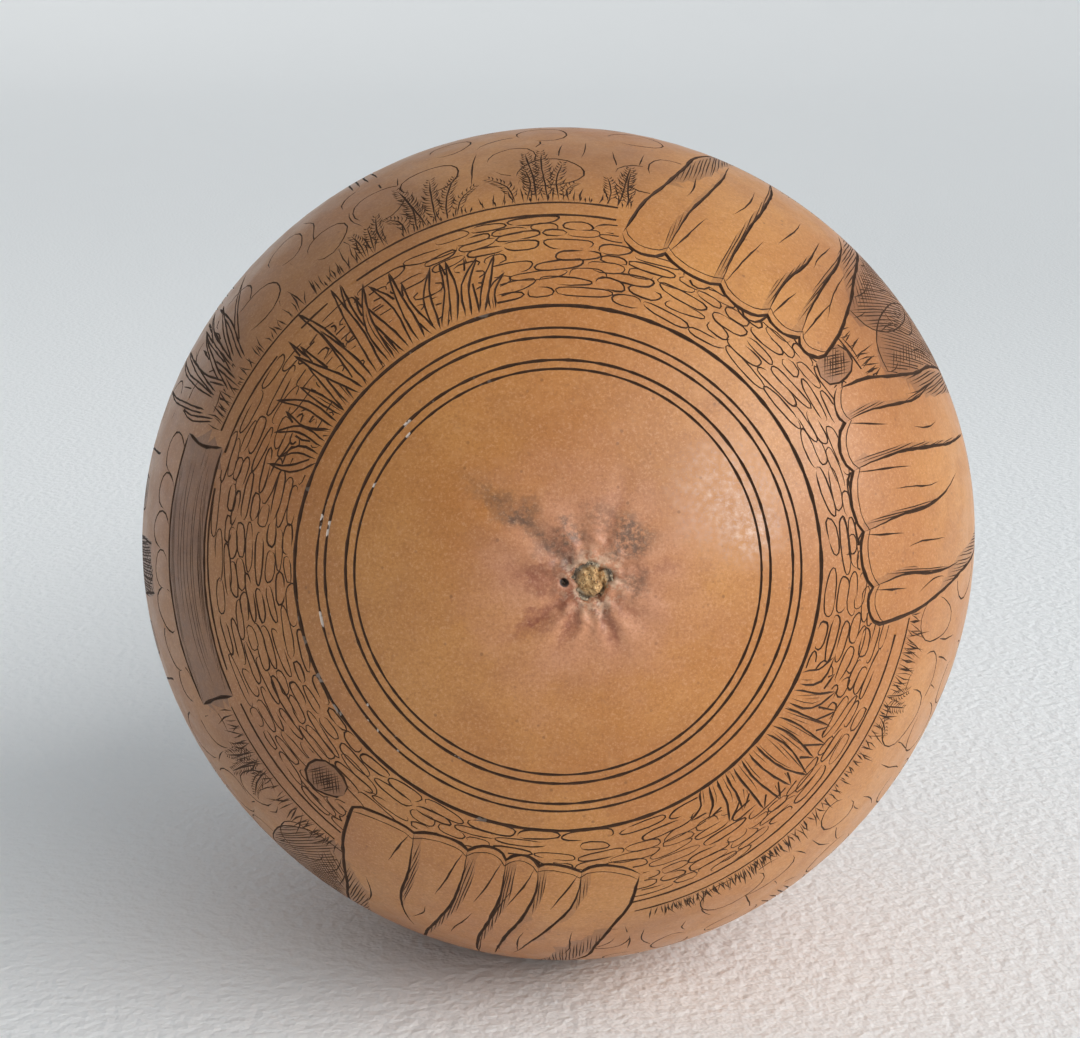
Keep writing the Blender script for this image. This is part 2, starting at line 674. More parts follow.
def robe(at, folds, scallop, dark=0.35):
    """A long full robe: a rippled hem, folds that rise where its ripples meet, and shaded sides."""
    def side(x, y):
        return x * (1 - 0.42 * min(1, max(0, y) / 46) ** 0.8), y

    phase = chance.uniform(0, 6)
    drops = [chance.uniform(0.9, 2.1) for _ in range(folds)]

    def hem_at(u):
        x = 2 * u - 1 + 0.11 * math.sin(TAU * u + phase) - 0.11 * math.sin(phase)
        drop = drops[min(folds - 1, int(u * folds))] * abs(math.sin(math.pi * folds * u)) ** 0.6
        return x, 1.5 - scallop * (1 - x * x) - drop

    hem = [hem_at(u) for u in np.linspace(0, 1, 7 * folds + 1)]
    left = [side(hem[0][0] - 0.03 * math.sin(y / 5), y) for y in np.linspace(hem[0][1], 55, 9)]
    right = [side(hem[-1][0] + 0.03 * math.sin(y / 4), y) for y in np.linspace(hem[-1][1], 55, 9)]
    line(at(*(left[::-1] + hem[1:])), 0.54, taper=4)
    line(at(*right), 0.5, taper=3)
    line(at(*[(0.985 * x, y + 1.3) for x, y in hem]), 0.16, taper=1)
    for k in range(1, folds):
        x, y = hem[7 * k]
        reach, sweep = chance.uniform(24, 48), chance.uniform(-0.2, 0.2)
        fold = [side(x + sweep * t * t + 0.03 * math.sin(7 * t), y + reach * t)
                for t in np.linspace(0, 1, 9)]
        line(at(*fold), chance.uniform(0.42, 0.56), taper=9)
        gather = [(a + 0.075 * (1 - i / 8) ** 0.8, b) for i, (a, b) in enumerate(fold)]
        shade(at(*(fold + gather[::-1])), 0, 0.26, 0.15, dark=dark * 0.7)
        other = [side(x - 0.02 - 0.10 * t, y + 0.4 + reach * 0.3 * t) for t in np.linspace(0, 1, 4)]
        line(at(*other), 0.3, taper=5)
    for k in range(folds):
        x, y = hem[7 * k + 3]
        start, reach = y + chance.uniform(6, 20), chance.uniform(7, 14)
        crease = [side(x + 0.05 * math.sin(3 * t + k), start + reach * t) for t in np.linspace(0, 1, 4)]
        line(at(*crease), 0.26, taper=5)
    for edge, inner, share in ((-1, -0.78, 0.8), (1, 0.72, 1.1)):
        band = [side(edge * 0.99, y) for y in range(14, 50, 6)]
        band += [side(inner, y) for y in range(46, 20, -6)]
        shade(at(*band), 0, 0.34, 0.16, dark=dark * share)
    cover_area(at(*(hem + right + left[::-1])))


def cast_shade(at, side):
    """Ground in the shade beside a robe, darkened with fine lines that are crossed next to the robe."""
    def beside(*points):
        return at(*[(side * x, y) for x, y in points])

    points = beside((0.80, 13), (1.10, 15), (1.24, 24), (1.20, 36), (1.02, 48), (0.62, 52), (0.70, 30))
    shade(points, 22, 0.36, 0.18, dark=0.42)
    near = beside((0.80, 14), (0.98, 17), (0.96, 34), (0.66, 48), (0.70, 30))
    hatch(curve(near, 1.0, True), -34, 0.5, 0.18)
    line(points[:5], 0.24)


def shoe(at, x):
    """The heel and sole of a shoe below the hem."""
    sole = curve(at((x - 0.10, 2), (x - 0.12, -1.6), (x - 0.07, -3.6), (x + 0.04, -3.9), (x + 0.11, -2),
                    (x + 0.10, 2)), 0.7, True)
    cut(sole, 0.34, True, 0)
    line(at((x - 0.1, -1.0), (x, -0.3), (x + 0.1, -1.0)), 0.2)
    cover(sole)


def person(azimuth, hem, wide, tall, folds, scallop, lean=0.0, rows=2, shade_side=1):
    """A robed person seen from behind, feet towards the blossom end."""
    def at(*points):
        return [(azimuth + lean * y + x * wide * (1 - 0.0035 * y), hem + y * tall) for x, y in points]

    hat(at)
    plait(at, -0.17, 42, 72)
    plait(at, 0.17, 42, 72)
    nape = at((-0.26, 74.6), (0, 73.4), (0.26, 74.6), (0.22, 71), (0, 70), (-0.22, 71))
    shade(nape, 0, 0.3, 0.2, dark=0.5)
    shawl(at, 38, rows)
    robe(at, folds, scallop)
    shoe(at, -0.28)
    shoe(at, 0.24)
    cast_shade(at, shade_side)


def pot(azimuth, polar, wide, high):
    """A clay pot, dark with crossed hatching: rim, neck and round body."""
    body = boulder(azimuth, polar, wide, high, 0, 0.36)
    covers.pop()
    darken(body, 0.45)
    for lean in (18, -40):
        hatch(body, lean, 0.34, 0.22)
    cover(body)
    degrees_per_mm = 57.3 / 46
    for up, half in ((high / 2 + 0.1, 0.28), (high / 2 + 0.9, 0.36)):
        rise = up * degrees_per_mm
        spread = wide * half * degrees_per_mm / math.sin(math.radians(polar))
        line([(azimuth - spread, polar + rise), (azimuth, polar + rise + 0.3),
              (azimuth + spread, polar + rise)], 0.34)


def people():
    """Three robed people in a ring round the gourd, and their pots."""
    pot(222.5, 43, 4.6, 4.8)
    person(59, 44.0, 21, 0.93, 5, 3.0, lean=-0.04, shade_side=-1)
    person(11, 42.5, 22, 0.95, 5, 4.6, lean=0.06, rows=1)
    person(257, 42, 28, 0.90, 6, 4.4, lean=-0.05, rows=3, shade_side=-1)
    pot(36.5, 46, 4.2, 5.2)


# ---------------------------------------------------------------- buildings, trees and borders

def trough():
    """A long stone trough with a dark side, and rounded stones heaped in it."""
    near, far, low, high = 161.5, 202.5, 50.0, 59.4
    ends = np.linspace(near, far, 7)
    bottom = [(a, low + 0.25 * math.sin(a)) for a in ends]
    top = [(a, high + 0.25 * math.cos(a)) for a in ends]
    line(bottom, 0.5)
    line(top, 0.56)
    line([bottom[0], (near + 0.8, 54.5), top[0]], 0.48)
    line([bottom[-1], (far - 0.5, 54.5), top[-1]], 0.5)
    darken(curve(bottom + top[::-1], 1.0, True), 0.54)
    for first, last in ((near + 0.4, near + 4.4), (far - 4.0, far - 0.4)):
        shade([(first, low + 0.6), (last, low + 0.6), (last, high - 0.6), (first, high - 0.6)],
              -90, 0.34, 0.14)
    for first, last in ((low + 0.3, low + 1.5), (high - 1.5, high - 0.3)):
        shade([(a, first) for a in ends] + [(a, last) for a in ends[::-1]], -90, 0.22, 0.12)
    for polar in steps_between(low + 1.6, high - 1.6, 0.75):
        start = chance.uniform(near + 1, near + 14)
        stop = chance.uniform(far - 16, far - 1)
        line([(a, polar + 0.2 * math.sin(a)) for a in np.linspace(start, stop, 6)], 0.13, taper=4)
    for azimuth in np.linspace(near + 3.5, far - 3.5, 7):
        boulder(azimuth, high + chance.uniform(2.6, 3.6), chance.uniform(3.6, 4.8),
                chance.uniform(4.2, 5.6), 0.3, 0.3)
    cover(curve(bottom + [(far - 2, 68), (near + 2, 68)], 1.0, True))


def house():
    """A small house of mud brick with a tiled roof, behind the trough."""
    middle, half = 182, 16
    eave, ridge, foot = 92, 104, 66
    door = [(middle - 3.4, foot), (middle - 3.4, 80), (middle + 3.4, 80), (middle + 3.4, foot)]
    line(door, 0.34, step=1.2)
    shade(door, 0, 0.3, 0.2, -30, 0.5)
    for side in (-10, 10):
        near, far = middle + side - 2, middle + side + 2
        window = [(near, 74), (near, 80), (far, 80), (far, 74), (near, 74)]
        line(window, 0.3, step=1.0, taper=0.2)
        shade(window[:4], 20, 0.4, 0.2, -50, 0.4)
    for row in range(6):
        polar = eave + (ridge - eave) * row / 6
        reach = half + 4 - 0.6 * row
        tiles = np.linspace(middle - reach, middle + reach, 27)
        line([(a, polar + (0.9 if i % 2 else 0)) for i, a in enumerate(tiles)], 0.28, step=0.8)
    roof = [(middle - half - 4, eave), (middle - half, ridge), (middle + half, ridge),
            (middle + half + 4, eave)]
    line([roof[0], (middle - half - 2.2, 98), roof[1]], 0.36)
    line([roof[3], (middle + half + 2.2, 98), roof[2]], 0.36)
    line([roof[1], (middle, ridge + 0.3), roof[2]], 0.4)
    cover_area(roof)
    for side in (-half, half):
        line([(middle + side, foot), (middle + side, eave)], 0.36)
    for _ in range(18):
        a, p = chance.uniform(middle - half + 1, middle + half - 3), chance.uniform(foot + 2, eave - 2)
        line([(a, p), (a + chance.uniform(1.4, 2.6), p + 0.1)], 0.18, step=0.8, taper=0.5)
    cover_area([(middle - half, foot), (middle - half, eave), (middle + half, eave),
                (middle + half, foot)])


def tree(azimuth, foot, tall, wide):
    """A leafy tree: clumps of leaves, then the trunk with bark lines."""
    for _ in range(11):
        across = max(-0.8, min(0.8, chance.gauss(0, 0.42)))
        up = chance.uniform(0.46, 1.0)
        clump = boulder(azimuth + wide * across * (1.15 - up * 0.4), foot + tall * up,
                        chance.uniform(4.5, 7), chance.uniform(3.4, 5), 0.25, 0.26)
        middle = clump.mean()
        half = np.concatenate([clump[:len(clump) // 2], [middle]])
        covers.pop()
        hatch(half, chance.uniform(-40, 40), 0.5, 0.18)
        cover(clump)
    for side in (-1.3, -0.3, 0.6, 1.4):
        line([(azimuth + side * (1.4 - 0.5 * t) + 0.5 * math.sin(5 * t), foot + tall * 0.62 * t)
              for t in np.linspace(0, 1, 6)], 0.3, taper=2)
    cover_area([(azimuth - 2, foot), (azimuth - 1.4, foot + tall * 0.6),
                (azimuth + 1.4, foot + tall * 0.6), (azimuth + 2, foot)])


def trees():
    for spot in ((118, 72, 46, 15), (143, 76, 40, 12), (213, 74, 44, 12), (302, 68, 46, 15),
                 (326, 74, 40, 13)):
        tree(*spot)


def straight(points, width, closed=False):
    """A line with sharp corners through (azimuth, polar) points."""
    corners = to_map(*np.array(points, float).T)
    if closed:
        corners = np.append(corners, corners[0])
    parts = []
    for a, b in zip(corners, corners[1:]):
        count = max(2, round(abs(b - a) / per_mm((a + b) / 2) / 1.2))
        parts.append(a + (b - a) * np.arange(count) / count)
    cut(np.concatenate(parts), width, closed, 0 if closed else 0.8)


def mountains():
    """A far ridge of peaks, hatched on one side, all round the shoulder of the gourd."""
    ridge = []
    azimuth = 0.0
    while azimuth < 350:
        ridge.append((azimuth, chance.uniform(113, 117)))
        peak = (azimuth + chance.uniform(6, 10), chance.uniform(123, 131))
        ridge += [(peak[0] - 1.5, peak[1] - 2.4), peak, (peak[0] + 2.4, peak[1] - 4)]
        valley = (peak[0] + chance.uniform(6, 10), 116)
        shade([peak, (peak[0] + 1.2, 121), (peak[0] - 0.5, 115.5), valley], 30, 0.5, 0.2, dark=0.15)
        azimuth = valley[0]
    straight(ridge, 0.34, True)


def terraces():
    """Terraced fields on the slopes: long level lines with stones under them and crops on them."""
    for first, last in ((84, 112), (226, 238), (286, 300), (330, 352), (34, 38)):
        for polar in range(82, 112, 6):
            ends = (first + chance.uniform(-3, 3), last + chance.uniform(-3, 3))
            points = [(a, polar + 0.8 * math.sin(math.radians(9 * a)) + 0.3 * chance.random())
                      for a in np.linspace(*ends, max(4, round((ends[1] - ends[0]) / 4)))]
            line(points, 0.3)
            for azimuth in steps_between(ends[0] + 1, ends[1] - 1, 3.4):
                tuft(azimuth, polar + 0.6, 2, chance.uniform(1.4, 2.6), 0.8)
            for azimuth in steps_between(ends[0] + 1, ends[1] - 1, 6.0):
                boulder(azimuth, polar - 1.6, chance.uniform(1.6, 3.0), 1.3, 0.05, 0.2)


def border():
    """Turned lines and a band of zigzags round the shoulder, next to the neck."""
    for polar, width in ((137.5, 0.4), (139.0, 0.28), (149.5, 0.28), (151.0, 0.4), (164.0, 0.36),
                         (166.0, 0.28)):
        cut(to_map(np.arange(0, 360, 3.0), polar), width, closed=True, taper=0)
    for shift in (0, 1.2):
        azimuths = np.arange(0, 360, 360 / 52)
        polars = np.where(np.arange(52) % 2, 147.6 - shift, 140.8 + shift)
        cut(to_map(azimuths, polars), 0.32, closed=True, taper=0)
    for azimuth in np.arange(0, 360, 360 / 26):
        tooth = [(azimuth + 4, 141.4), (azimuth + 6.9, 147.4), (azimuth + 9.8, 141.4)]
        shade(tooth, 0, 0.5, 0.2, dark=0.25)


# What stands in front is drawn before what it hides
for draw in (rings, border, people, trough, spear_grass, rosette, limb_grass, kerb, cobbles, ferns,
             verge, house, trees, terraces, rocky_ground, mountains):
    draw()


# ---------------------------------------------------------------- the gourd's mesh

class Sheet:
    """The points and lines that the flat map is cut up along."""

    def __init__(self):
        self.points = []
        self.edges = []

    def add(self, w):
        self.points.append(Vector((w.real, w.imag)))
        return len(self.points) - 1

    def add_cut(self, w, half, side):
        """Adds the middle of a cut and its two edges, which meet the middle where the cut runs out."""
        middle = [self.add(p) for p in w]
        rows = [middle]
        for way in (1, -1):
            edge = w + way * side * half * per_mm(w)
            rows.append([m if h < 0.01 else self.add(p) for m, p, h in zip(middle, edge, half)])
        for row in rows:
            self.edges += [(a, b) for a, b in zip(row, row[1:]) if a != b]
        for end in (0, -1):
            self.edges += [(row[end], middle[end]) for row in rows[1:] if row[end] != middle[end]]


def cell_of(w):
    """A whole number for the small cell of the map that a place lies in."""
    cells_per_turn = 377
    u = np.log(np.maximum(np.abs(w), 1e-6)) * cells_per_turn / TAU
    v = (np.angle(w) / TAU % 1) * cells_per_turn
    return np.floor(u).astype(int) * 1000 + np.floor(v).astype(int) % cells_per_turn


def engraving(w):
    """Depth of the engraving at places on the map: 0 or less means untouched skin."""
    start = np.concatenate([c[0][:-1] for c in cuts])
    end = np.concatenate([c[0][1:] for c in cuts])
    half_0 = np.concatenate([c[1][:-1] for c in cuts])
    half_1 = np.concatenate([c[1][1:] for c in cuts])
    steep = np.concatenate([np.full(len(c[0]) - 1, c[3]) for c in cuts])
    scale = per_mm((start + end) / 2)
    # Which pieces of cuts come near each small cell of the map
    entries = []
    reach = 0.4
    for t in (0, 0.25, 0.5, 0.75, 1):
        for away in (0, 1, 1j, -1, -1j, 0.7 + 0.7j, 0.7 - 0.7j, -0.7 + 0.7j, -0.7 - 0.7j):
            spot = start + t * (end - start) + away * reach * scale
            entries.append(np.stack([cell_of(spot), np.arange(len(start))], 1))
    entries = np.unique(np.concatenate(entries), axis=0)
    # Each place against each piece of a cut that comes near its cell
    keys = cell_of(w)
    first = np.searchsorted(entries[:, 0], keys, "left")
    count = np.searchsorted(entries[:, 0], keys, "right") - first
    place = np.repeat(np.arange(len(w)), count)
    within = np.arange(len(place)) - np.repeat(np.cumsum(count) - count, count)
    piece = entries[np.repeat(first, count) + within, 1]
    run = (end - start)[piece]
    t = ((w[place] - start[piece]) * np.conj(run)).real / np.maximum(np.abs(run) ** 2, 1e-18)
    t = np.clip(t, 0, 1)
    off = np.abs(w[place] - start[piece] - t * run) / scale[piece]
    half = half_0[piece] * (1 - t) + half_1[piece] * t
    depth = np.full(len(w), -1.0)
    np.maximum.at(depth, place, steep[piece] * 2 * (half - off))
    return depth


# Number of points round the cut end of the neck and round each ring of the inside
BORDER = 80


def fill_places():
    """Places all over the gourd between the engraved lines, closer together round the scar."""
    spots = []
    gone = 0.4
    total = LENGTHS.sum()
    arc = np.concatenate([[0], np.cumsum(LENGTHS)])
    odd = 0
    while gone < total - 1.2:
        polar = np.interp(gone, arc, POLAR)
        radius = np.interp(polar, POLAR, RADIUS)
        pitch = 0.34 if radius < 6.5 else 0.7 if radius < 14 else 2.8
        count = max(6, round(TAU * radius / pitch))
        azimuth = (np.arange(count) + odd / 2) * 360 / count
        spots.append(to_map(azimuth, polar))
        odd = 1 - odd
        gone += pitch * 0.87
    return np.concatenate(spots)


def clear_of_cuts(w):
    """Drops places that would crowd an engraved line."""
    cells_per_radian = 55

    def cells(places):
        return zip(np.floor(np.log(np.abs(places)) * cells_per_radian).astype(int),
                   np.floor(np.angle(places) * cells_per_radian).astype(int))

    taken = {cell for middle, *_ in cuts for cell in cells(middle)}
    return w[[cell not in taken for cell in cells(w)]]


def make_shell():
    """The engraved outside: places, points, normals, triangles and which of them are inked."""
    sheet = Sheet()
    rim = to_map(np.arange(BORDER) * 360 / BORDER, 180.0)
    rim_ids = [sheet.add(p) for p in rim]
    for w, half, side, depth in cuts:
        sheet.add_cut(w, half, side)
    for p in clear_of_cuts(fill_places()):
        sheet.add(p)
    sheet.edges += list(zip(rim_ids, rim_ids[1:] + rim_ids[:1]))
    points, _, faces = delaunay_2d_cdt(sheet.points, sheet.edges, [], 0, 1e-6, False)[:3]
    w = np.array([complex(*p) for p in points])
    corners = np.array([list(face) for face in faces])
    inked = engraving(w[corners].mean(1)) > 0
    point, normal = surface(w)
    touched = np.unique(corners[inked])
    depth = np.zeros(len(w))
    depth[touched] = np.maximum(engraving(w[touched]), 0)
    outside = point - normal * depth[:, None]
    return w, outside, normal, corners, inked


# Soft dark smudges: azimuth, polar, reach in millimetres and strength
SMUDGES = [(115, 57, 8, 0.42), (94, 59, 8, 0.4), (84, 62, 7, 0.36), (128, 56, 8, 0.36),
           (150, 60, 9, 0.4), (212, 56, 7, 0.34), (286, 56, 6, 0.22), (222, 44, 4, 0.2),
           (36, 60, 7, 0.3), (181, 54, 14, 0.2)]


def darkening(w, corners):
    """How much soot lies at each corner of each triangle, from 0 to 1."""
    centres = w[corners].mean(1)
    flat = np.zeros(len(centres))
    for region, dark, count in soot:
        near = np.flatnonzero(in_box(centres, *corners_of(region)) & (flat < dark))
        near = near[inside(centres[near], region)]
        flat[near[~covered(centres[near], count)]] = dark
    soft = np.zeros(len(w))
    for azimuth, polar, reach, strength in SMUDGES:
        middle = to_map(azimuth, polar)
        soft = np.maximum(soft, strength * np.exp(-(np.abs(w - middle) / per_mm(middle) / reach) ** 2))
    return 1 - (1 - flat[:, None]) * (1 - soft[corners])


def inner_rings():
    """The bore through the neck and the cavity, from the cut end to the blossom end."""
    inner_r = HEAD_R - WALL
    back = math.sqrt(inner_r ** 2 - BORE_R ** 2)
    rows = [(BORE_R, -NECK_END), (BORE_R, -back)]
    first = math.degrees(math.asin(BORE_R / inner_r))
    towards_neck, towards_blossom = np.arange(first + 4, 90, 8), np.arange(90, 4, -8)
    for long, angles in ((-inner_r, towards_neck), (BLOSSOM_LEN - WALL, towards_blossom)):
        rows += [(inner_r * math.sin(math.radians(a)), long * math.cos(math.radians(a))) for a in angles]
    return rows


def build_gourd():
    """The whole gourd: the engraved outside, the cut end of the neck, the bore and the cavity."""
    w, outside, normal, faces, inked = make_shell()
    inner, inner_faces = turned(inner_rings(), BORDER)
    count = len(outside)
    top = count + len(inner)
    edge = np.flatnonzero(np.abs(w) > to_map(0, 179.99).real)
    edge = edge[np.argsort(np.angle(w[edge]) % (TAU - 1e-6))]
    all_faces = faces.tolist()
    for i in range(BORDER):
        j = (i + 1) % BORDER
        all_faces.append([edge[j], edge[i], count + i, count + j])
        all_faces.append([top - BORDER + j, top - BORDER + i, top])
    all_faces += [[count + i for i in face[::-1]] for face in inner_faces]
    kinds = list(inked.astype(int)) + [2] * (len(all_faces) - len(inked))
    mesh = bpy.data.meshes.new("gourd_shell_engraved")
    mesh.from_pydata(np.concatenate([outside, inner, [[0, 0, BLOSSOM_LEN - WALL]]]) * MM, [], all_faces)
    mesh.polygons.foreach_set("material_index", np.array(kinds, np.int32))
    mesh.polygons.foreach_set("use_smooth", np.ones(len(kinds), bool))
    mesh.update()
    dark = np.zeros(len(mesh.loops), np.float32)
    dark[:3 * len(faces)] = darkening(w, faces).ravel()
    mesh.attributes.new("soot", "FLOAT", "CORNER").data.foreach_set("value", dark)
    set_normals(mesh, normal, kinds)
    mesh.transform(PLACE)
    return new_object("engraved_gourd", mesh)


def set_normals(mesh, normal, kinds):
    """Skin is shaded along the true surface, and the sides of the engraving as they lie."""
    loops = np.zeros(len(mesh.loops), np.int32)
    mesh.loops.foreach_get("vertex_index", loops)
    sizes = np.zeros(len(mesh.polygons), np.int32)
    mesh.polygons.foreach_get("loop_total", sizes)
    flat = np.zeros(len(mesh.polygons) * 3)
    mesh.polygons.foreach_get("normal", flat)
    flat = flat.reshape(-1, 3)
    kind = np.repeat(np.array(kinds), sizes)
    face = np.repeat(np.arange(len(sizes)), sizes)
    result = flat[face]
    skin = (kind == 0) & (loops < len(normal))
    result[skin] = normal[loops[skin]]
    mesh.normals_split_custom_set(result.tolist())


# ---------------------------------------------------------------- turned and other small pieces

def add_piece(name, points, faces, burnt=None):
    """A smooth mesh object from points in millimetres in the maraca's own frame."""
    mesh = bpy.data.meshes.new(name)
    mesh.from_pydata(np.array(points) * MM, [], faces)
    mesh.transform(PLACE)
    mesh.polygons.foreach_set("use_smooth", [True] * len(faces))
    if burnt is not None:
        soot_on = mesh.attributes.new("soot", "FLOAT", "POINT")
        soot_on.data.foreach_set("value", np.array(burnt, np.float32))
    mesh.update()
    return new_object(name, mesh)


def ring_angles(sides):
    """Angles of the points of a ring."""
    return np.arange(sides) * TAU / sides


def between_rings(rings, sides):
    """Faces that join each of these rings of points to the next."""
    return [(a * sides + i, a * sides + (i + 1) % sides, b * sides + (i + 1) % sides, b * sides + i)
            for a, b in zip(rings, rings[1:]) for i in range(sides)]


def turned(rows, sides):
    """Points and faces of rings of (radius, height), where either is a number or one for each point."""
    angle = ring_angles(sides)
    points = [np.stack([radius * np.cos(angle), radius * np.sin(angle), np.broadcast_to(height, sides)], 1)
              for radius, height in rows]
    return np.concatenate(points), between_rings(range(len(rows)), sides)


def capped(points, faces, sides, first_end, last_end):
    """Closes both ends of a row of rings with a fan to a point."""
    count = len(points)
    points = np.concatenate([points, [first_end, last_end]])
    last = count - sides
    for i in range(sides):
        j = (i + 1) % sides
        faces.append((count, j, i))
        faces.append((count + 1, last + i, last + j))
    return points, faces


def handle_outline():
    """Stations along the CAD handle, its radius at each, and the tenon's radius and start."""
    cad = node_points("handle", TO_LOCAL)
    behind = np.round(-cad[:, 2], 2)
    radius = np.hypot(cad[:, 0], cad[:, 1])
    shoulder = behind[radius > 1.2 * radius[behind < NECK_END].max()].min()
    stations = np.unique(behind[behind > shoulder - 0.01])
    largest = np.array([radius[np.abs(behind - s) < 0.02].max() for s in stations])
    return stations, largest, radius[behind < NECK_END].max(), behind.min()


def build_handle():
    """Turned handle with beads and burnt rings, a little out of round as a hand tool leaves it."""
    stations, largest, tenon_r, tenon_start = handle_outline()
    start, end = stations[0], stations[-1]
    burnt_rings = [(start + 2.2, 0.5), (start + 6.2, 0.7), (start + 15.4, 0.6), (start + 17.2, 0.6),
                   (start + 52.2, 0.6), (start + 54.0, 0.9), (start + 55.8, 0.6), (start + 96.8, 0.7),
                   (end - 12.0, 0.6), (end - 10.2, 0.6), (end - 6.0, 0.8)]
    along = np.unique(np.round(np.concatenate([np.arange(start, end - 4.2, 0.45), stations,
                                               [end - 4 + 0.25 * k for k in range(15)]]), 2))
    sides = 96
    angle = ring_angles(sides)
    rows = [(tenon_r - 0.6, -tenon_start), (tenon_r, -tenon_start - 0.6), (tenon_r, -start)]
    burnt = [0.0] * 3
    for s in along:
        radius = np.interp(s, stations, largest)
        groove = sum(0.32 * math.exp(-((s - at) / wide / 0.5) ** 4) for at, wide in burnt_rings)
        dark = sum(math.exp(-((s - at) / wide / 0.62) ** 4) for at, wide in burnt_rings)
        tool = 0.03 * (math.sin(4.1 * s) + np.sin(3 * angle + 0.11 * s) + np.sin(2 * angle - 0.07 * s))
        rows.append((radius - groove - 0.09 + tool, -s))
        burnt.append(min(1.0, dark))
    last = largest[-1]
    for share, sink in ((0.9, 0.02), (0.6, 0.05), (0.3, 0.10), (0.12, 0.35), (0.06, 0.9)):
        rows.append((last * share + 0.05 * np.sin(5 * angle), -end + sink))
        burnt.append(0.6 if share < 0.2 else 0.0)
    points, faces = turned(rows, sides)
    points, faces = capped(points, faces, sides, (0, 0, -tenon_start), (0, 0, 1.1 - end))
    # The rows run away from the blossom end, so the faces are turned round to look outwards
    faces = [face[::-1] for face in faces]
    return add_piece("turned_handle", points, faces, np.append(np.repeat(burnt, sides), [0.0, 1.0]))


def build_seal():
    """A bead of dark resin pressed out between the neck and the shoulder, uneven and in places run."""
    sides = 144
    angle = ring_angles(sides)
    swell = 0.16 * np.sin(3 * angle + 1) + 0.12 * np.sin(7 * angle) + 0.07 * np.sin(13 * angle + 2)
    for at, wide, high in ((0.9, 0.10, 0.5), (2.7, 0.07, 0.3), (4.4, 0.12, 0.6), (5.6, 0.06, 0.3)):
        off = (angle - at + math.pi) % TAU - math.pi
        swell = swell + high * np.exp(-(off / wide) ** 2)
    seal = node_points("resin_seal", TO_LOCAL)
    front, back = seal[:, 2].max(), seal[:, 2].min()
    middle, half = (front + back) / 2, (front - back) / 2
    rows = [(BORE_R + 0.02, front - 0.05)]
    bulge = 0.55 + 0.6 * swell
    forward = 0.1091
    for t in np.linspace(-math.pi / 2, math.pi / 2, 13):
        rise = (half + 0.28) * math.sin(-t) + forward * math.cos(t)
        rows.append((NECK_R - 0.35 + bulge * math.cos(t), middle + rise + 0.12 * swell * math.sin(-t)))
    rows.append((BORE_R + 0.02, back + 0.05))
    points = turned(rows, sides)[0]
    # The last ring joins the first, and the faces are turned round to look outwards
    faces = [(a, d, c, b) for a, b, c, d in between_rings([*range(len(rows)), 0], sides)]
    return add_piece("resin_bead", points, faces)


def build_peg(node):
    """A whittled wooden peg: eight soft facets, with domed and trimmed ends."""
    cad = node_points(node, TO_LOCAL)
    centre = (cad.max(0) + cad.min(0)) / 2
    spread = cad - centre
    way = np.linalg.svd(spread, full_matrices=False)[2][0]
    along = spread @ way
    half = along.max()
    radius = np.linalg.norm(spread - np.outer(along, way), axis=1).max()
    sides = 32
    facets = 1 - 0.035 * np.abs(np.sin(4 * ring_angles(sides)))
    rows = []
    for t in np.linspace(-1, 1, 31):
        trim = max(0.0, abs(t) * half - (half - 0.45)) / 0.45
        rows.append((radius * facets * (1 - 0.28 * trim ** 2) - 0.02 * math.sin(9 * t), t * half))
    for end in (-1, 1):
        dome = [(radius * facets * share, end * (half - 0.02 * share)) for share in (0.5, 0.25)]
        rows = dome[::-1] + rows if end < 0 else rows + dome
    points, faces = turned(rows, sides)
    points, faces = capped(points, faces, sides, (0, 0, -half), (0, 0, half))
    turn = Vector((0, 0, 1)).rotation_difference(Vector(way)).to_matrix()
    points = points @ np.array(turn).T + centre
    return add_piece("whittled_" + node, points, faces)


def build_crumb():
    """What is left of the flower: a lumpy corky crumb in the scar's pit, cracked on one side."""
    sides, reach = 72, SCAR_R + 0.2
    top = SCAR[:, 2].max()
    angle = ring_angles(sides)
    rings = []
    for share in np.linspace(1, 0.02, 26):
        radius = share * reach
        x, y = radius * np.cos(angle), radius * np.sin(angle)
        heap = 0.75 * np.exp(-(((x + 0.15) / 1.25) ** 2 + ((y - 0.15) / 1.15) ** 2) ** 1.5)
        lumps = [noise.fractal(Vector((1.5 * a, 1.5 * b, 3.0)), 0.7, 2.2, 4) for a, b in zip(x, y)]
        crack = 0.55 * np.exp(-((x - 0.75 + 0.3 * np.sin(3 * y)) / 0.20) ** 2) * (np.abs(y) < 1.6)
        moat = 0.125 * math.exp(-((radius - 1.6) / 0.25) ** 2) * (1 + np.sin(angle + 2.4))
        z = SCAR_FLOOR + 0.45 + heap + 0.42 * np.array(lumps) - crack - moat
        z = np.minimum(z - 1.2 * ramp(radius, SCAR_R - 0.5, reach), top - 0.02)
        rings.append(np.stack([x + SCAR_X, y + SCAR_Y, np.maximum(z, SCAR_FLOOR - 0.25)], 1))
    faces = between_rings(range(len(rings)), sides)
    low = (SCAR_X, SCAR_Y, SCAR_FLOOR - 0.3)
    return add_piece("scar_crumb", *capped(np.concatenate(rings), faces, sides, low, rings[-1].mean(0)))


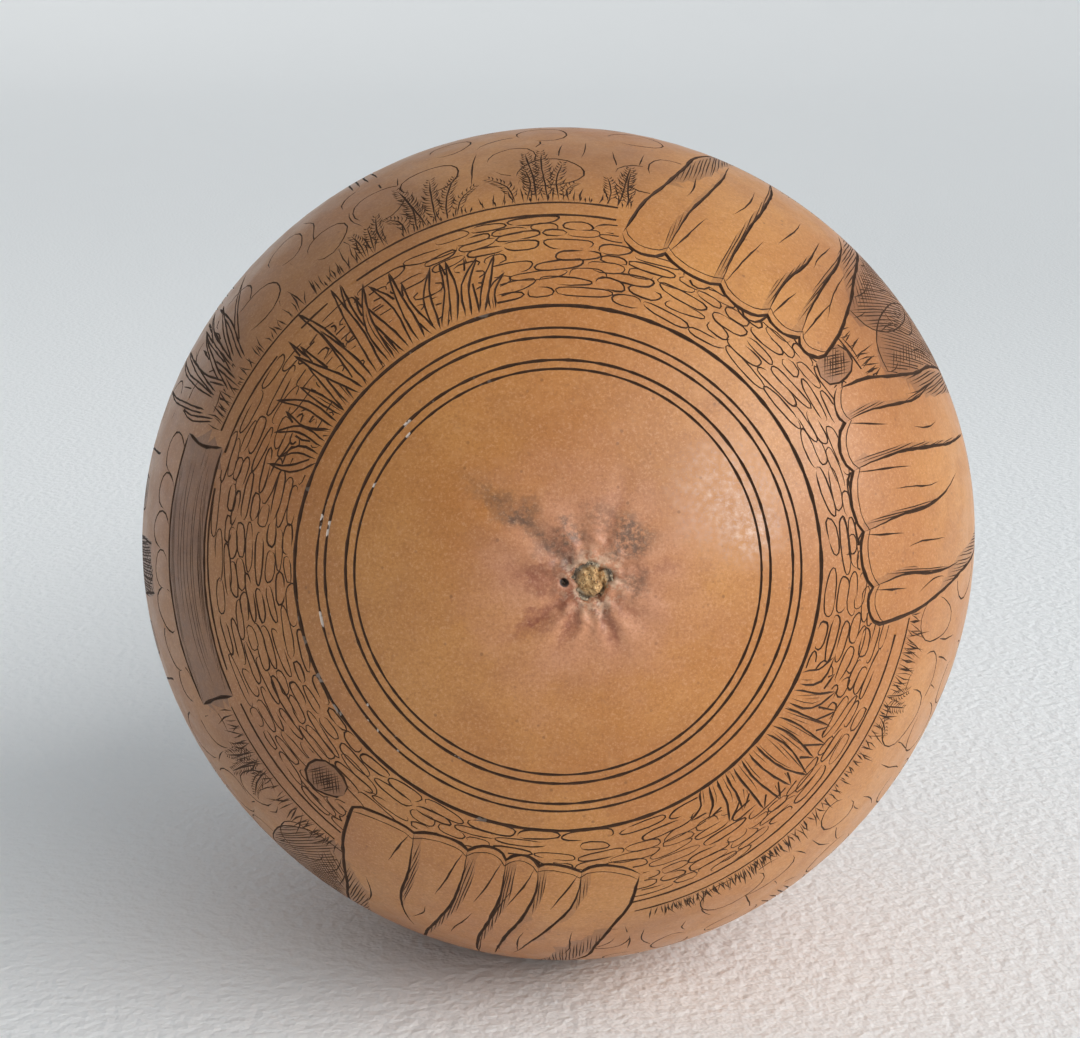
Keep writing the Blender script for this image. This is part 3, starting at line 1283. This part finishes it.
def build_seed(node, number):
    """A hard round seed: a little wrinkled, with a dent at the hilum, inside the CAD seed's ball."""
    obj = frame["nodes"][node]
    cad = np.array([v.co for v in obj.data.vertices])
    centre = (cad.max(0) + cad.min(0)) / 2
    radius = (cad.max(0) - cad.min(0)).max() / 2
    ball = bmesh.new()
    bmesh.ops.create_icosphere(ball, subdivisions=4, radius=1)
    turn = Euler((number * 1.7, number * 2.3, number * 0.9)).to_matrix()
    for v in ball.verts:
        way = v.co.normalized()
        pole = way.z
        dent = 0.10 * math.exp(-((1 - pole) / 0.05) ** 2) + 0.03 * math.exp(-((1 + pole) / 0.03) ** 2)
        rim = 0.02 * math.exp(-((pole - 0.86) / 0.05) ** 2)
        rough = 0.02 * noise.fractal(way * 2.4 + Vector((number, 0, 0)), 0.8, 2.1, 4)
        ridge = 0.012 * math.sin(9 * math.atan2(way.y, way.x)) * (1 - pole * pole)
        size = min(1.0, 0.965 - dent + rim + rough + ridge)
        v.co = turn @ (way * size) * radius
    mesh = bpy.data.meshes.new("hard_" + node)
    ball.to_mesh(mesh)
    ball.free()
    mesh.polygons.foreach_set("use_smooth", [True] * len(mesh.polygons))
    mesh.transform(Matrix.Translation(obj.matrix_world @ Vector(centre)))
    return new_object("hard_" + node, mesh)


# ---------------------------------------------------------------- materials

class Nodes:
    """A short way to write a node tree: a value that is a socket is linked, and any other is set."""

    def __init__(self, name):
        self.material = bpy.data.materials.new(name)
        self.material.use_nodes = True
        self.tree = self.material.node_tree
        self.tree.nodes.clear()

    def add(self, kind, settings=None, **inputs):
        """A new node: _0 is its first input, and __ in an input's name stands for a space."""
        node = self.tree.nodes.new("ShaderNode" + kind)
        for key, value in (settings or {}).items():
            setattr(node, key, value)
        for key, value in inputs.items():
            socket = node.inputs[int(key[1:]) if key[0] == "_" else key.replace("__", " ")]
            if isinstance(value, bpy.types.NodeSocket):
                self.tree.links.new(value, socket)
            else:
                socket.default_value = value
        return node

    def math(self, operation, a, b=0.0):
        return self.add("Math", {"operation": operation}, _0=a, _1=b).outputs[0]

    def times(self, a, b):
        return self.math("MULTIPLY", a, b)

    def plus(self, a, b):
        return self.math("ADD", a, b)

    def vector(self, operation, a, b, output=0):
        return self.add("VectorMath", {"operation": operation}, _0=a, _1=b).outputs[output]

    def scaled(self, vector, factor):
        return self.add("VectorMath", {"operation": "SCALE"}, _0=vector, _3=factor).outputs[0]

    def distance(self, place, spot):
        return self.vector("DISTANCE", place, spot, "Value")

    def axis(self, place, number):
        return self.add("SeparateXYZ", Vector=place).outputs[number]

    def soot(self):
        """The darkness that the mesh carries."""
        return self.add("Attribute", {"attribute_name": "soot"}).outputs["Fac"]

    def bump(self, height, strength, deep):
        """A normal for a height in the shader, where 1 is so many millimetres."""
        return self.add("Bump", Strength=strength, Distance=deep * MM, Height=height).outputs[0]

    def noise(self, vector, scale, detail=3.0, roughness=0.55):
        return self.add("TexNoise", Vector=vector, Scale=scale, Detail=detail,
                        Roughness=roughness).outputs[0]

    def band(self, value, low, high, to_low=0.0, to_high=1.0):
        """A smooth step from one value to another; low may be above high."""
        return self.add("MapRange", {"interpolation_type": "SMOOTHSTEP"}, _0=value, _1=low, _2=high,
                        _3=to_low, _4=to_high).outputs[0]

    def mix(self, factor, a, b):
        return self.add("Mix", {"data_type": "RGBA"}, _0=factor, _6=a, _7=b).outputs[2]

    def cloudy(self, place, scale, detail, roughness, *band):
        """A smooth step through a noise."""
        return self.band(self.noise(place, scale, detail, roughness), *band)

    def finish(self, shader):
        self.add("OutputMaterial", Surface=shader.outputs[0])
        return self.material

    def local(self):
        """Places in the maraca's own frame, in millimetres."""
        world = self.add("TexCoord").outputs["Object"]
        turned = self.add("Mapping", {"vector_type": "TEXTURE"}, Vector=world, Location=PLACE.translation,
                          Rotation=PLACE.to_euler())
        return self.scaled(turned.outputs[0], 1 / MM)

    def principled(self, colour, roughness, normal, **settings):
        shader = self.add("BsdfPrincipled", Base__Color=colour, Roughness=roughness, Normal=normal)
        for key, value in settings.items():
            shader.inputs[key.replace("__", " ")].default_value = value
        return self.finish(shader)


def srgb(*screen):
    """A colour given as three screen values from 0 to 255."""
    values = [c / 255 for c in screen]
    return tuple(c / 12.92 if c <= 0.04045 else ((c + 0.055) / 1.055) ** 2.4 for c in values) + (1.0,)


def scar_place(n, place):
    """Distance from the scar's axis, and the height along the gourd's axis, in the shader."""
    shifted = n.vector("SUBTRACT", place, (SCAR_X, SCAR_Y, 0))
    flat = n.vector("MULTIPLY", shifted, (1, 1, 0))
    return n.distance(flat, (0, 0, 0)), n.axis(place, 2)


def streak(n, place, azimuth, reach, width):
    """A soft stain that runs out from the scar in one direction, in the shader."""
    a = math.radians(azimuth)
    shifted = n.vector("SUBTRACT", place, (SCAR_X, SCAR_Y, 0))
    along = n.vector("DOT_PRODUCT", shifted, (math.cos(a), math.sin(a), 0), "Value")
    off = n.vector("DOT_PRODUCT", shifted, (-math.sin(a), math.cos(a), 0), "Value")
    ragged = n.plus(n.math("ABSOLUTE", off), n.times(n.noise(place, 0.55, 4.0, 0.65), width * 1.6))
    across = n.band(ragged, width * 0.5, width * 1.7, 1.0, 0.0)
    length = n.times(n.band(along, 0.8, 2.6), n.band(along, reach * 0.55, reach, 1.0, 0.0))
    return n.times(across, length)


RED_BROWN = srgb(134, 70, 46)
GREY_BROWN = srgb(92, 70, 56)
# Stains that run out from the scar: direction in degrees, reach and width in mm, strength, colour
SCAR_STAINS = [(214, 11, 1.7, 1.0, RED_BROWN), (243, 8, 1.1, 0.9, RED_BROWN),
               (291, 8, 1.2, 0.9, RED_BROWN), (178, 9, 2.2, 0.8, RED_BROWN),
               (130, 7, 2.2, 0.9, RED_BROWN), (322, 7, 1.2, 0.6, RED_BROWN),
               (141, 18, 1.9, 0.8, GREY_BROWN), (72, 12, 0.7, 0.4, RED_BROWN),
               (8, 10, 1.2, 0.4, RED_BROWN)]
# Bruises: place from the scar, reach in millimetres, strength, colour
SCAR_BRUISES = [(3.6, 4.2, 3.0, 0.85, GREY_BROWN), (-2.0, 4.4, 1.8, 0.8, GREY_BROWN),
                (4.4, -0.4, 1.8, 0.6, GREY_BROWN), (-4.6, 0.6, 2.6, 0.5, RED_BROWN),
                (-6.4, 6.2, 1.9, 0.7, GREY_BROWN), (0.8, 6.2, 2.2, 0.4, GREY_BROWN),
                (1.0, -2.6, 1.4, 0.5, GREY_BROWN)]
# Waxy patches in the skin: place and reach in millimetres
WAX = [((15.5, 7.0, 40.0), 8.0), ((18.0, 3.5, 39.0), 4.5)]


def gourd_skin():
    """Varnished gourd: mottled orange brown, stained round the scar, specked and sooted."""
    n = Nodes("gourd_skin")
    place = n.local()
    away, height = scar_place(n, place)
    front = n.band(height, 20.0, 30.0)
    colour = n.mix(n.cloudy(place, 0.045, 3.0, 0.55, 0.34, 0.66), srgb(179, 114, 54), srgb(195, 133, 67))
    colour = n.mix(n.cloudy(place, 0.17, 5.0, 0.7, 0.42, 0.72, 0.0, 0.42), colour, srgb(158, 98, 50))
    colour = n.mix(n.cloudy(place, 0.8, 4.0, 0.75, 0.5, 0.8, 0.0, 0.35), colour, srgb(218, 160, 104))
    behind = n.band(height, 0.0, -46.0)
    colour = n.mix(n.times(behind, 0.55), colour, srgb(164, 104, 48))
    shady = n.band(n.axis(place, 0), -2.0, -34.0, 0.0, 0.34)
    colour = n.mix(shady, colour, srgb(120, 72, 34))
    # Round the scar: a pink wash, brown furrows, grey bruises and a pale waxy edge
    wash = n.plus(away, n.times(n.noise(place, 0.16, 4.0, 0.6), 16.0))
    wash = n.times(n.band(wash, 11.0, 24.0, 0.62, 0.0), front)
    colour = n.mix(wash, colour, srgb(196, 138, 112))
    swirl = n.add("TexNoise", Vector=place, Scale=0.5, Detail=4.0, Roughness=0.7).outputs["Color"]
    swirl = n.scaled(n.vector("SUBTRACT", swirl, (0.5, 0.5, 0.5)), 4.5)
    bent = n.vector("ADD", place, swirl)
    for azimuth, reach, width, depth, tone in SCAR_STAINS:
        mark = n.times(streak(n, bent, azimuth, reach, width), front)
        mark = n.times(mark, n.cloudy(place, 1.3, 4.0, 0.75, 0.3, 0.55, 0.55, 1.0))
        colour = n.mix(n.times(mark, depth), colour, tone)
    for x, y, reach, depth, tone in SCAR_BRUISES:
        spot = n.distance(bent, (SCAR_X + x, SCAR_Y + y, BLOSSOM_LEN - 0.7))
        mark = n.times(n.band(spot, reach, reach * 0.3), n.cloudy(place, 2.0, 4.0, 0.75, 0.34, 0.6))
        colour = n.mix(n.times(mark, depth), colour, tone)
    crust = n.plus(away, n.times(n.noise(place, 0.9, 5.0, 0.8), 5.0))
    crust = n.times(n.band(crust, 4.4, 6.8, 0.7, 0.0), front)
    crust = n.times(crust, n.cloudy(place, 0.9, 4.0, 0.8, 0.46, 0.56))
    colour = n.mix(crust, colour, srgb(204, 174, 146))
    hole = n.distance(place, (*PIN_HOLE, BLOSSOM_LEN - 0.5))
    colour = n.mix(n.band(hole, 0.55, 0.4), colour, srgb(30, 22, 17))
    # Grain and specks in the skin, wax on it and soot rubbed into it
    grain = n.noise(place, 3.2, 4.0, 0.8)
    colour = n.mix(n.band(grain, 0.50, 0.64, 0.0, 0.30), colour, srgb(122, 72, 42))
    colour = n.mix(n.band(grain, 0.48, 0.36, 0.0, 0.25), colour, srgb(226, 180, 144))
    dots = n.add("TexVoronoi", Vector=place, Scale=0.75)
    dark = n.times(n.band(dots.outputs["Distance"], 0.16, 0.08),
                  n.cloudy(place, 0.3, 2.0, 0.55, 0.45, 0.6))
    colour = n.mix(n.times(dark, 0.45), colour, srgb(104, 62, 36))
    for spot, reach in WAX:
        wax = n.distance(place, spot)
        wax = n.times(n.band(wax, reach, reach * 0.1), n.cloudy(place, 1.6, 5.0, 0.85, 0.36, 0.76))
        colour = n.mix(n.times(wax, 0.6), colour, srgb(232, 204, 188))
    sooty = n.soot()
    sooty = n.times(sooty, n.cloudy(place, 0.5, 4.0, 0.6, 0.2, 0.8, 0.75, 1.1))
    colour = n.mix(sooty, colour, srgb(76, 42, 23))
    pores = n.plus(n.noise(place, 2.4, 3.0, 0.6), n.times(crust, 1.5))
    rough = n.cloudy(place, 0.35, 3.0, 0.55, 0.3, 0.7, 0.36, 0.5)
    rough = n.plus(rough, n.times(wash, 0.12))
    bump = n.bump(pores, 0.35, 0.06)
    return n.principled(colour, rough, bump, Coat__Weight=0.35, Coat__Roughness=0.34,
                        Specular__IOR__Level=0.4)


def ink():
    """Lamp black rubbed into the cuts, with dust and wax caught in some of them."""
    n = Nodes("ink")
    place = n.local()
    away = scar_place(n, place)[0]
    colour = n.mix(n.noise(place, 1.5, 3.0), srgb(42, 28, 19), srgb(84, 56, 36))
    side = n.band(n.axis(place, 0), -4.0, -16.0)
    dust = n.times(n.cloudy(place, 0.34, 3.0, 0.7, 0.61, 0.64), side)
    dust = n.times(dust, n.band(away, 29.0, 26.0))
    colour = n.mix(n.times(dust, 0.8), colour, srgb(222, 208, 196))
    bump = n.bump(n.noise(place, 6.0, 2.0), 0.5, 0.03)
    return n.principled(colour, 0.72, bump, Specular__IOR__Level=0.25)


def inner_skin():
    """The dry inside of the gourd."""
    n = Nodes("inner_skin")
    place = n.local()
    colour = n.mix(n.noise(place, 0.3, 5.0, 0.7), srgb(176, 140, 92), srgb(214, 184, 136))
    bump = n.bump(n.noise(place, 1.2, 4.0), 0.8, 0.2)
    return n.principled(colour, 0.9, bump)


def handle_wood():
    """Oiled fruitwood: growth rings and fibres along the handle, with burnt lines and a worn grip."""
    n = Nodes("handle_wood")
    place = n.local()
    parts = n.add("SeparateXYZ", Vector=place)
    long_way = n.add("CombineXYZ", X=parts.outputs[0], Y=parts.outputs[1],
                     Z=n.times(parts.outputs[2], 0.055)).outputs[0]
    bent = n.times(n.noise(long_way, 0.13, 2.0), 9.0)
    pith_x = n.plus(n.math("SUBTRACT", parts.outputs[0], 7.0), bent)
    pith_y = n.plus(parts.outputs[1], n.times(bent, 0.6))
    pith = n.add("CombineXYZ", X=pith_x, Y=pith_y).outputs[0]
    away = n.distance(pith, (0, 0, 0))
    year = n.math("FRACT", n.times(away, 0.62))
    late = n.times(n.band(year, 0.35, 0.93), n.band(year, 1.0, 0.95))
    colour = n.mix(n.cloudy(long_way, 0.22, 4.0, 0.55, 0.3, 0.7), srgb(150, 98, 56), srgb(178, 124, 76))
    colour = n.mix(n.times(late, 0.55), colour, srgb(112, 66, 34))
    fibre = n.noise(long_way, 3.2, 4.0, 0.7)
    colour = n.mix(n.band(fibre, 0.5, 0.72, 0.0, 0.5), colour, srgb(96, 58, 32))
    pores = n.add("TexVoronoi", Vector=long_way, Scale=2.6)
    pore = n.band(pores.outputs["Distance"], 0.17, 0.09)
    colour = n.mix(n.times(pore, 0.55), colour, srgb(70, 40, 22))
    worn = n.times(n.band(parts.outputs[2], -82.0, -104.0), n.band(parts.outputs[2], -186.0, -160.0))
    worn = n.times(worn, n.cloudy(place, 0.12, 3.0, 0.55, 0.4, 0.7))
    colour = n.mix(n.times(worn, 0.4), colour, srgb(120, 74, 42))
    burnt = n.soot()
    ragged = n.band(n.plus(burnt, n.times(n.noise(place, 1.4, 4.0), 0.5)), 0.55, 1.0)
    colour = n.mix(ragged, colour, srgb(36, 22, 15))
    rough = n.cloudy(place, 0.3, 3.0, 0.55, 0.3, 0.7, 0.4, 0.55)
    rough = n.math("SUBTRACT", rough, n.times(worn, 0.1))
    height = n.math("SUBTRACT", n.times(fibre, 0.6), pore)
    bump = n.bump(height, 0.6, 0.06)
    return n.principled(colour, rough, bump, Coat__Weight=0.12, Coat__Roughness=0.35)


def peg_wood():
    """Dark hardwood pegs that show their end grain."""
    n = Nodes("peg_wood")
    place = n.local()
    grain = n.noise(place, 2.2, 5.0, 0.75)
    colour = n.mix(n.band(grain, 0.32, 0.68), srgb(66, 38, 22), srgb(128, 82, 48))
    ring = n.add("TexWave", {"wave_type": "RINGS"}, Vector=place, Scale=1.1, Distortion=3.0, Detail=2.0)
    colour = n.mix(n.times(ring.outputs["Fac"], 0.35), colour, srgb(48, 27, 16))
    bump = n.bump(grain, 0.7, 0.06)
    return n.principled(colour, 0.55, bump)


def resin():
    """Dark amber resin with dust on it and paler thin places."""
    n = Nodes("resin")
    place = n.local()
    colour = n.mix(n.cloudy(place, 0.5, 4.0, 0.55, 0.35, 0.65), srgb(46, 22, 10), srgb(104, 54, 22))
    dust = n.cloudy(place, 2.4, 5.0, 0.8, 0.58, 0.7)
    colour = n.mix(n.times(dust, 0.35), colour, srgb(158, 126, 92))
    rough = n.cloudy(place, 1.2, 3.0, 0.55, 0.35, 0.65, 0.22, 0.5)
    bump = n.bump(n.noise(place, 1.3, 3.0), 0.4, 0.08)
    return n.principled(colour, rough, bump, Coat__Weight=0.4, Coat__Roughness=0.2)


def cork():
    """Crumbling cork in the scar: a golden heart, black cracks, a grey moat and pale flakes."""
    n = Nodes("cork")
    place = n.local()
    away, height = scar_place(n, place)
    grain = n.noise(place, 3.2, 5.0, 0.75)
    colour = n.mix(n.band(grain, 0.36, 0.66), srgb(152, 106, 58), srgb(238, 198, 142))
    edge = n.band(n.plus(away, n.times(grain, 1.2)), 1.7, 2.3)
    colour = n.mix(edge, colour, srgb(110, 98, 84))
    pale = n.times(n.cloudy(place, 1.9, 4.0, 0.7, 0.50, 0.60), n.band(away, 1.1, 1.6))
    colour = n.mix(pale, colour, srgb(196, 176, 148))
    low = n.band(height, SCAR_FLOOR + 0.35, SCAR_FLOOR + 0.0)
    colour = n.mix(n.times(low, 0.8), colour, srgb(52, 43, 35))
    pits = n.cloudy(place, 3.6, 3.0, 0.7, 0.43, 0.36)
    colour = n.mix(n.times(pits, 0.85), colour, srgb(40, 31, 24))
    bump = n.bump(grain, 0.9, 0.15)
    return n.principled(colour, 0.85, bump)


def seed_skin():
    """Glossy dark seed coat, mottled, with a pale hilum side."""
    n = Nodes("seed_skin")
    place = n.local()
    colour = n.mix(n.cloudy(place, 0.35, 4.0, 0.55, 0.35, 0.65), srgb(52, 30, 20), srgb(104, 62, 36))
    spots = n.add("TexVoronoi", Vector=place, Scale=1.3)
    colour = n.mix(n.band(spots.outputs["Distance"], 0.3, 0.12, 0.0, 0.55), colour, srgb(168, 128, 84))
    rough = n.cloudy(place, 0.9, 3.0, 0.55, 0.35, 0.65, 0.25, 0.42)
    bump = n.bump(n.noise(place, 1.6, 4.0), 0.4, 0.08)
    return n.principled(colour, rough, bump, Coat__Weight=0.3, Coat__Roughness=0.25)


# ---------------------------------------------------------------- floor and light

def paper():
    """White paper with a rough tooth."""
    n = Nodes("paper")
    place = n.add("TexCoord").outputs["Object"]
    tooth = n.noise(place, 620.0, 2.0)
    bump = n.bump(tooth, 0.8, 0.5)
    shader = n.add("BsdfPrincipled", Base__Color=srgb(243, 244, 244), Roughness=0.9, Normal=bump)
    return n.finish(shader)


def make_floor():
    """A sheet of pale paper that curves up far away on every side."""
    mesh = bpy.data.meshes.new("floor")
    steps, flat, bend = 96, 3.5, 6.0
    profile = [(0.0, 0.0), (flat, 0.0)]
    profile += [(flat + bend * math.sin(math.radians(a)), bend * (1 - math.cos(math.radians(a))))
                for a in range(2, 47, 4)]
    points = [(0, 0, 0)]
    faces = []
    for radius, z in profile[1:]:
        points += [(radius * math.cos(TAU * i / steps), radius * math.sin(TAU * i / steps), z)
                   for i in range(steps)]
    for i in range(steps):
        j = (i + 1) % steps
        faces.append((0, 1 + i, 1 + j))
        for k in range(len(profile) - 2):
            a, b = 1 + k * steps, 1 + (k + 1) * steps
            faces.append((a + i, b + i, b + j, a + j))
    mesh.from_pydata(points, [], faces)
    mesh.polygons.foreach_set("use_smooth", [True] * len(faces))
    mesh.materials.append(paper())
    new_object("floor", mesh)


def make_lights():
    """Broad soft light from the right, as from a window, and a cool sky."""
    world = bpy.data.worlds.new("sky")
    world.use_nodes = True
    world.node_tree.nodes["Background"].inputs[0].default_value = (0.78, 0.90, 1.0, 1)
    world.node_tree.nodes["Background"].inputs[1].default_value = 0.29
    bpy.context.scene.world = world
    # Name, width in degrees, strength and the way to it
    for name, angle, energy, direction in (("window", 80, 2.95, (0.76, -0.62, 0.28)),
                                           ("ceiling", 120, 0.5, (0.1, 0.2, 1.0))):
        sun = bpy.data.lights.new(name, "SUN")
        sun.angle = math.radians(angle)
        sun.energy = energy
        sun.color = (1.0, 0.98, 0.955)
        lamp = new_object(name, sun)
        lamp.rotation_euler = Vector(direction).to_track_quat("Z", "Y").to_euler()
    # A near pane of the window, which lights the right side more than the left
    pane = bpy.data.lights.new("near_pane", "AREA")
    pane.size = 0.7
    pane.energy = 0.68
    pane.spread = math.radians(60)
    glow = new_object("near_pane", pane)
    way = Vector((0.92, -0.30, 0.34)).normalized()
    glow.location = PLACE.translation + way * 0.9
    glow.rotation_euler = way.to_track_quat("Z", "Y").to_euler()


# ---------------------------------------------------------------- putting it together

def fit(piece, body, node, slot, *materials):
    """Gives a piece its materials and puts it in the place of a CAD node."""
    for material in materials:
        piece.data.materials.append(material)
    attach(piece, body)
    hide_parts(node)


fit(build_gourd(), "maraca", "gourd_shell", "gourd", gourd_skin(), ink(), inner_skin())
fit(build_crumb(), "maraca", "blossom_scar", "cork", cork())
fit(build_handle(), "maraca", "handle", "handle_wood", handle_wood())
fit(build_seal(), "maraca", "resin_seal", "resin", resin())
peg_material = peg_wood()
for peg_name in ("cross_peg_1", "cross_peg_2"):
    fit(build_peg(peg_name), "maraca", peg_name, "peg_wood", peg_material)
seed_material = seed_skin()
seed_names = sorted(name for name in frame["nodes"] if name.startswith("seed_"))
for index, seed_name in enumerate(seed_names):
    fit(build_seed(seed_name, index), seed_name, seed_name, "seed", seed_material)
make_floor()
make_lights()
bpy.context.scene.view_settings.view_transform = "Standard"
